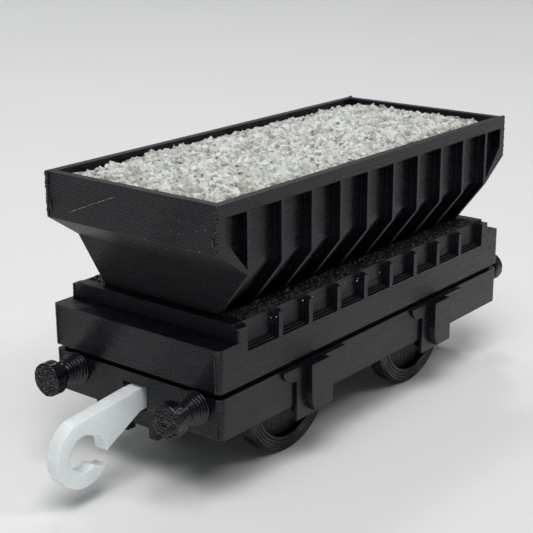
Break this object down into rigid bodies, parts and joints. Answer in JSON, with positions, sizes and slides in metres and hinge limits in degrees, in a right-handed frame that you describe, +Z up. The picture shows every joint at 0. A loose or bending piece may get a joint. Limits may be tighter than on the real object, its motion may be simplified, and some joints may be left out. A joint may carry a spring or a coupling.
{
  "type": "model hopper car",
  "caption": "Model railway hopper car: open ribbed hopper with a lift-out ballast load on a panelled deck, boxy underframe, dished wheels, buffers and a swinging C-shaped coupling hook.",
  "frame": {"origin": "on the rail plane, under the middle of the car body", "axes": "+X along the car towards the hook end, +Y to the left seen facing the hook end, +Z up from the rail plane"},
  "size_m": [0.1149, 0.0418, 0.0507],
  "materials": {
    "frame_print": "layered satin black",
    "body_print": "layered satin black",
    "hopper_print": "layered satin black",
    "wheel_print": "ringed satin black",
    "hook_plastic": "milky translucent gloss",
    "ballast": "rough crumbled pale grey",
    "steel": "turned"
  },
  "bodies": {
    "frame": {"chassis_frame": "frame_print", "underframe_body": "body_print", "deck_plinth": "body_print", "hopper_bin": "hopper_print", "front_cross_bar": "frame_print", "rear_tow_bar": "steel", "body_screw_front": "steel", "body_screw_rear": "steel", "hook_pivot_screw": "steel", "axle_guard_front_left": "frame_print", "axle_guard_front_right": "frame_print", "axle_guard_rear_left": "frame_print", "axle_guard_rear_right": "frame_print", "buffer_front_left": "frame_print", "buffer_front_right": "frame_print", "buffer_rear_left": "frame_print", "buffer_rear_right": "frame_print"},
    "front_wheelset": {"axle_front": "steel", "wheel_front_left": "wheel_print", "wheel_front_right": "wheel_print"},
    "rear_wheelset": {"axle_rear": "steel", "wheel_rear_left": "wheel_print", "wheel_rear_right": "wheel_print"},
    "hook": {"coupling_hook": "hook_plastic"},
    "load": {"ballast_load": "ballast"}
  },
  "joints": [
    {"name": "front_axle_spin", "type": "hinge", "parent": "frame", "child": "front_wheelset", "pos_m": [0.0199, 0, 0.0116], "axis": [0, 1, 0], "continuous": true},
    {"name": "rear_axle_spin", "type": "hinge", "parent": "frame", "child": "rear_wheelset", "pos_m": [-0.0199, 0, 0.0116], "axis": [0, 1, 0], "continuous": true},
    {"name": "hook_swing", "type": "hinge", "parent": "frame", "child": "hook", "pos_m": [0.0385, 0, 0.01432], "axis": [0, 0, 1], "range_deg": [-9, 9]},
    {"name": "load_lift", "type": "slide", "parent": "frame", "child": "load", "axis": [0, 0, 1], "range_m": [0, 0.008]}
  ]
}
